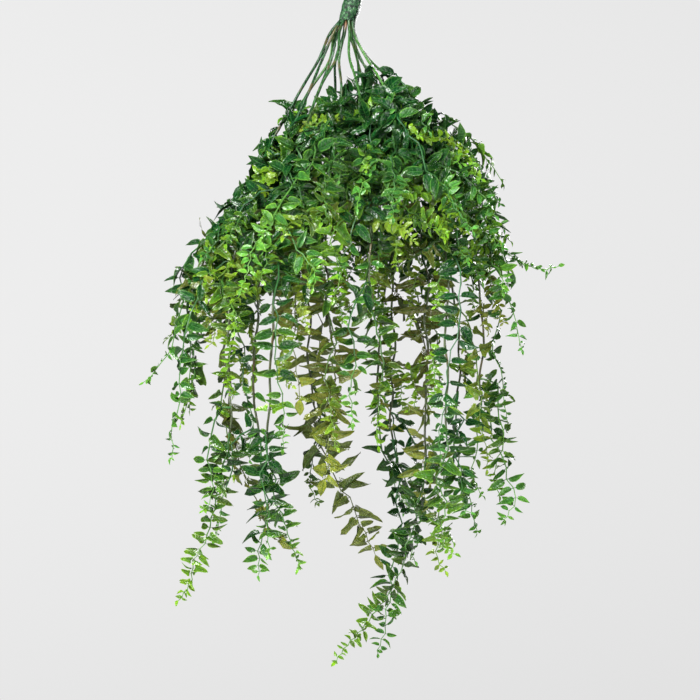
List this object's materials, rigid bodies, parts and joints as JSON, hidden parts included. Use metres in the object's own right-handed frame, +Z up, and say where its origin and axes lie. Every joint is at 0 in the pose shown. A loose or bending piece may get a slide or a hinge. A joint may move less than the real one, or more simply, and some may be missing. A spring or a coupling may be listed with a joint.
{
  "type": "artificial hanging fern spray",
  "caption": "Artificial trailing fern that hangs by its tape-bound trunk: wire stems arch out and hang down, each with moulded leaf sprays.",
  "frame": {"origin": "middle of the trunk's flat upper end, where the bunch is held", "axes": "+Z up along the trunk's upper end, +X to the right and -Y to the front of the bunch"},
  "size_m": [0.4744, 0.3665, 0.7943],
  "materials": {
    "green_tape": "dull green crepe tape, slightly waxy",
    "steel_core": "plain drawn wire",
    "coated_stem": "semi-matt plastic coating on wire, dark to mid green",
    "leaf_plastic": "soft gloss moulded leaves, dark green to yellow-green at the tips"
  },
  "bodies": {
    "root": {"tape_wrap": "green_tape", "core_rod": "steel_core", "stem_01": "coated_stem", "stem_02": "coated_stem", "stem_03": "coated_stem", "stem_04": "coated_stem", "stem_05": "coated_stem", "stem_06": "coated_stem", "stem_07": "coated_stem", "stem_08": "coated_stem", "stem_09": "coated_stem", "stem_10": "coated_stem", "stem_11": "coated_stem", "stem_12": "coated_stem", "stem_13": "coated_stem", "stem_14": "coated_stem", "spray_01_shoulder": "leaf_plastic", "spray_01_hanging": "leaf_plastic", "spray_01_end": "leaf_plastic", "spray_02_shoulder": "leaf_plastic", "spray_02_hanging": "leaf_plastic", "spray_02_end": "leaf_plastic", "spray_03_shoulder": "leaf_plastic", "spray_03_hanging": "leaf_plastic", "spray_03_end": "leaf_plastic", "spray_04_shoulder": "leaf_plastic", "spray_04_hanging": "leaf_plastic", "spray_04_end": "leaf_plastic", "spray_05_shoulder": "leaf_plastic", "spray_05_hanging": "leaf_plastic", "spray_05_end": "leaf_plastic", "spray_06_shoulder": "leaf_plastic", "spray_06_hanging": "leaf_plastic", "spray_06_end": "leaf_plastic", "spray_07_shoulder": "leaf_plastic", "spray_07_hanging": "leaf_plastic", "spray_07_end": "leaf_plastic", "spray_08_shoulder": "leaf_plastic", "spray_08_hanging": "leaf_plastic", "spray_08_end": "leaf_plastic", "spray_09_shoulder": "leaf_plastic", "spray_09_hanging": "leaf_plastic", "spray_09_end": "leaf_plastic", "spray_10_shoulder": "leaf_plastic", "spray_10_hanging": "leaf_plastic", "spray_10_end": "leaf_plastic", "spray_11_shoulder": "leaf_plastic", "spray_11_hanging": "leaf_plastic", "spray_11_end": "leaf_plastic", "spray_12_shoulder": "leaf_plastic", "spray_12_hanging": "leaf_plastic", "spray_12_end": "leaf_plastic", "spray_13_shoulder": "leaf_plastic", "spray_13_hanging": "leaf_plastic", "spray_13_end": "leaf_plastic", "spray_14_shoulder": "leaf_plastic", "spray_14_hanging": "leaf_plastic", "spray_14_end": "leaf_plastic"}
  },
  "joints": []
}
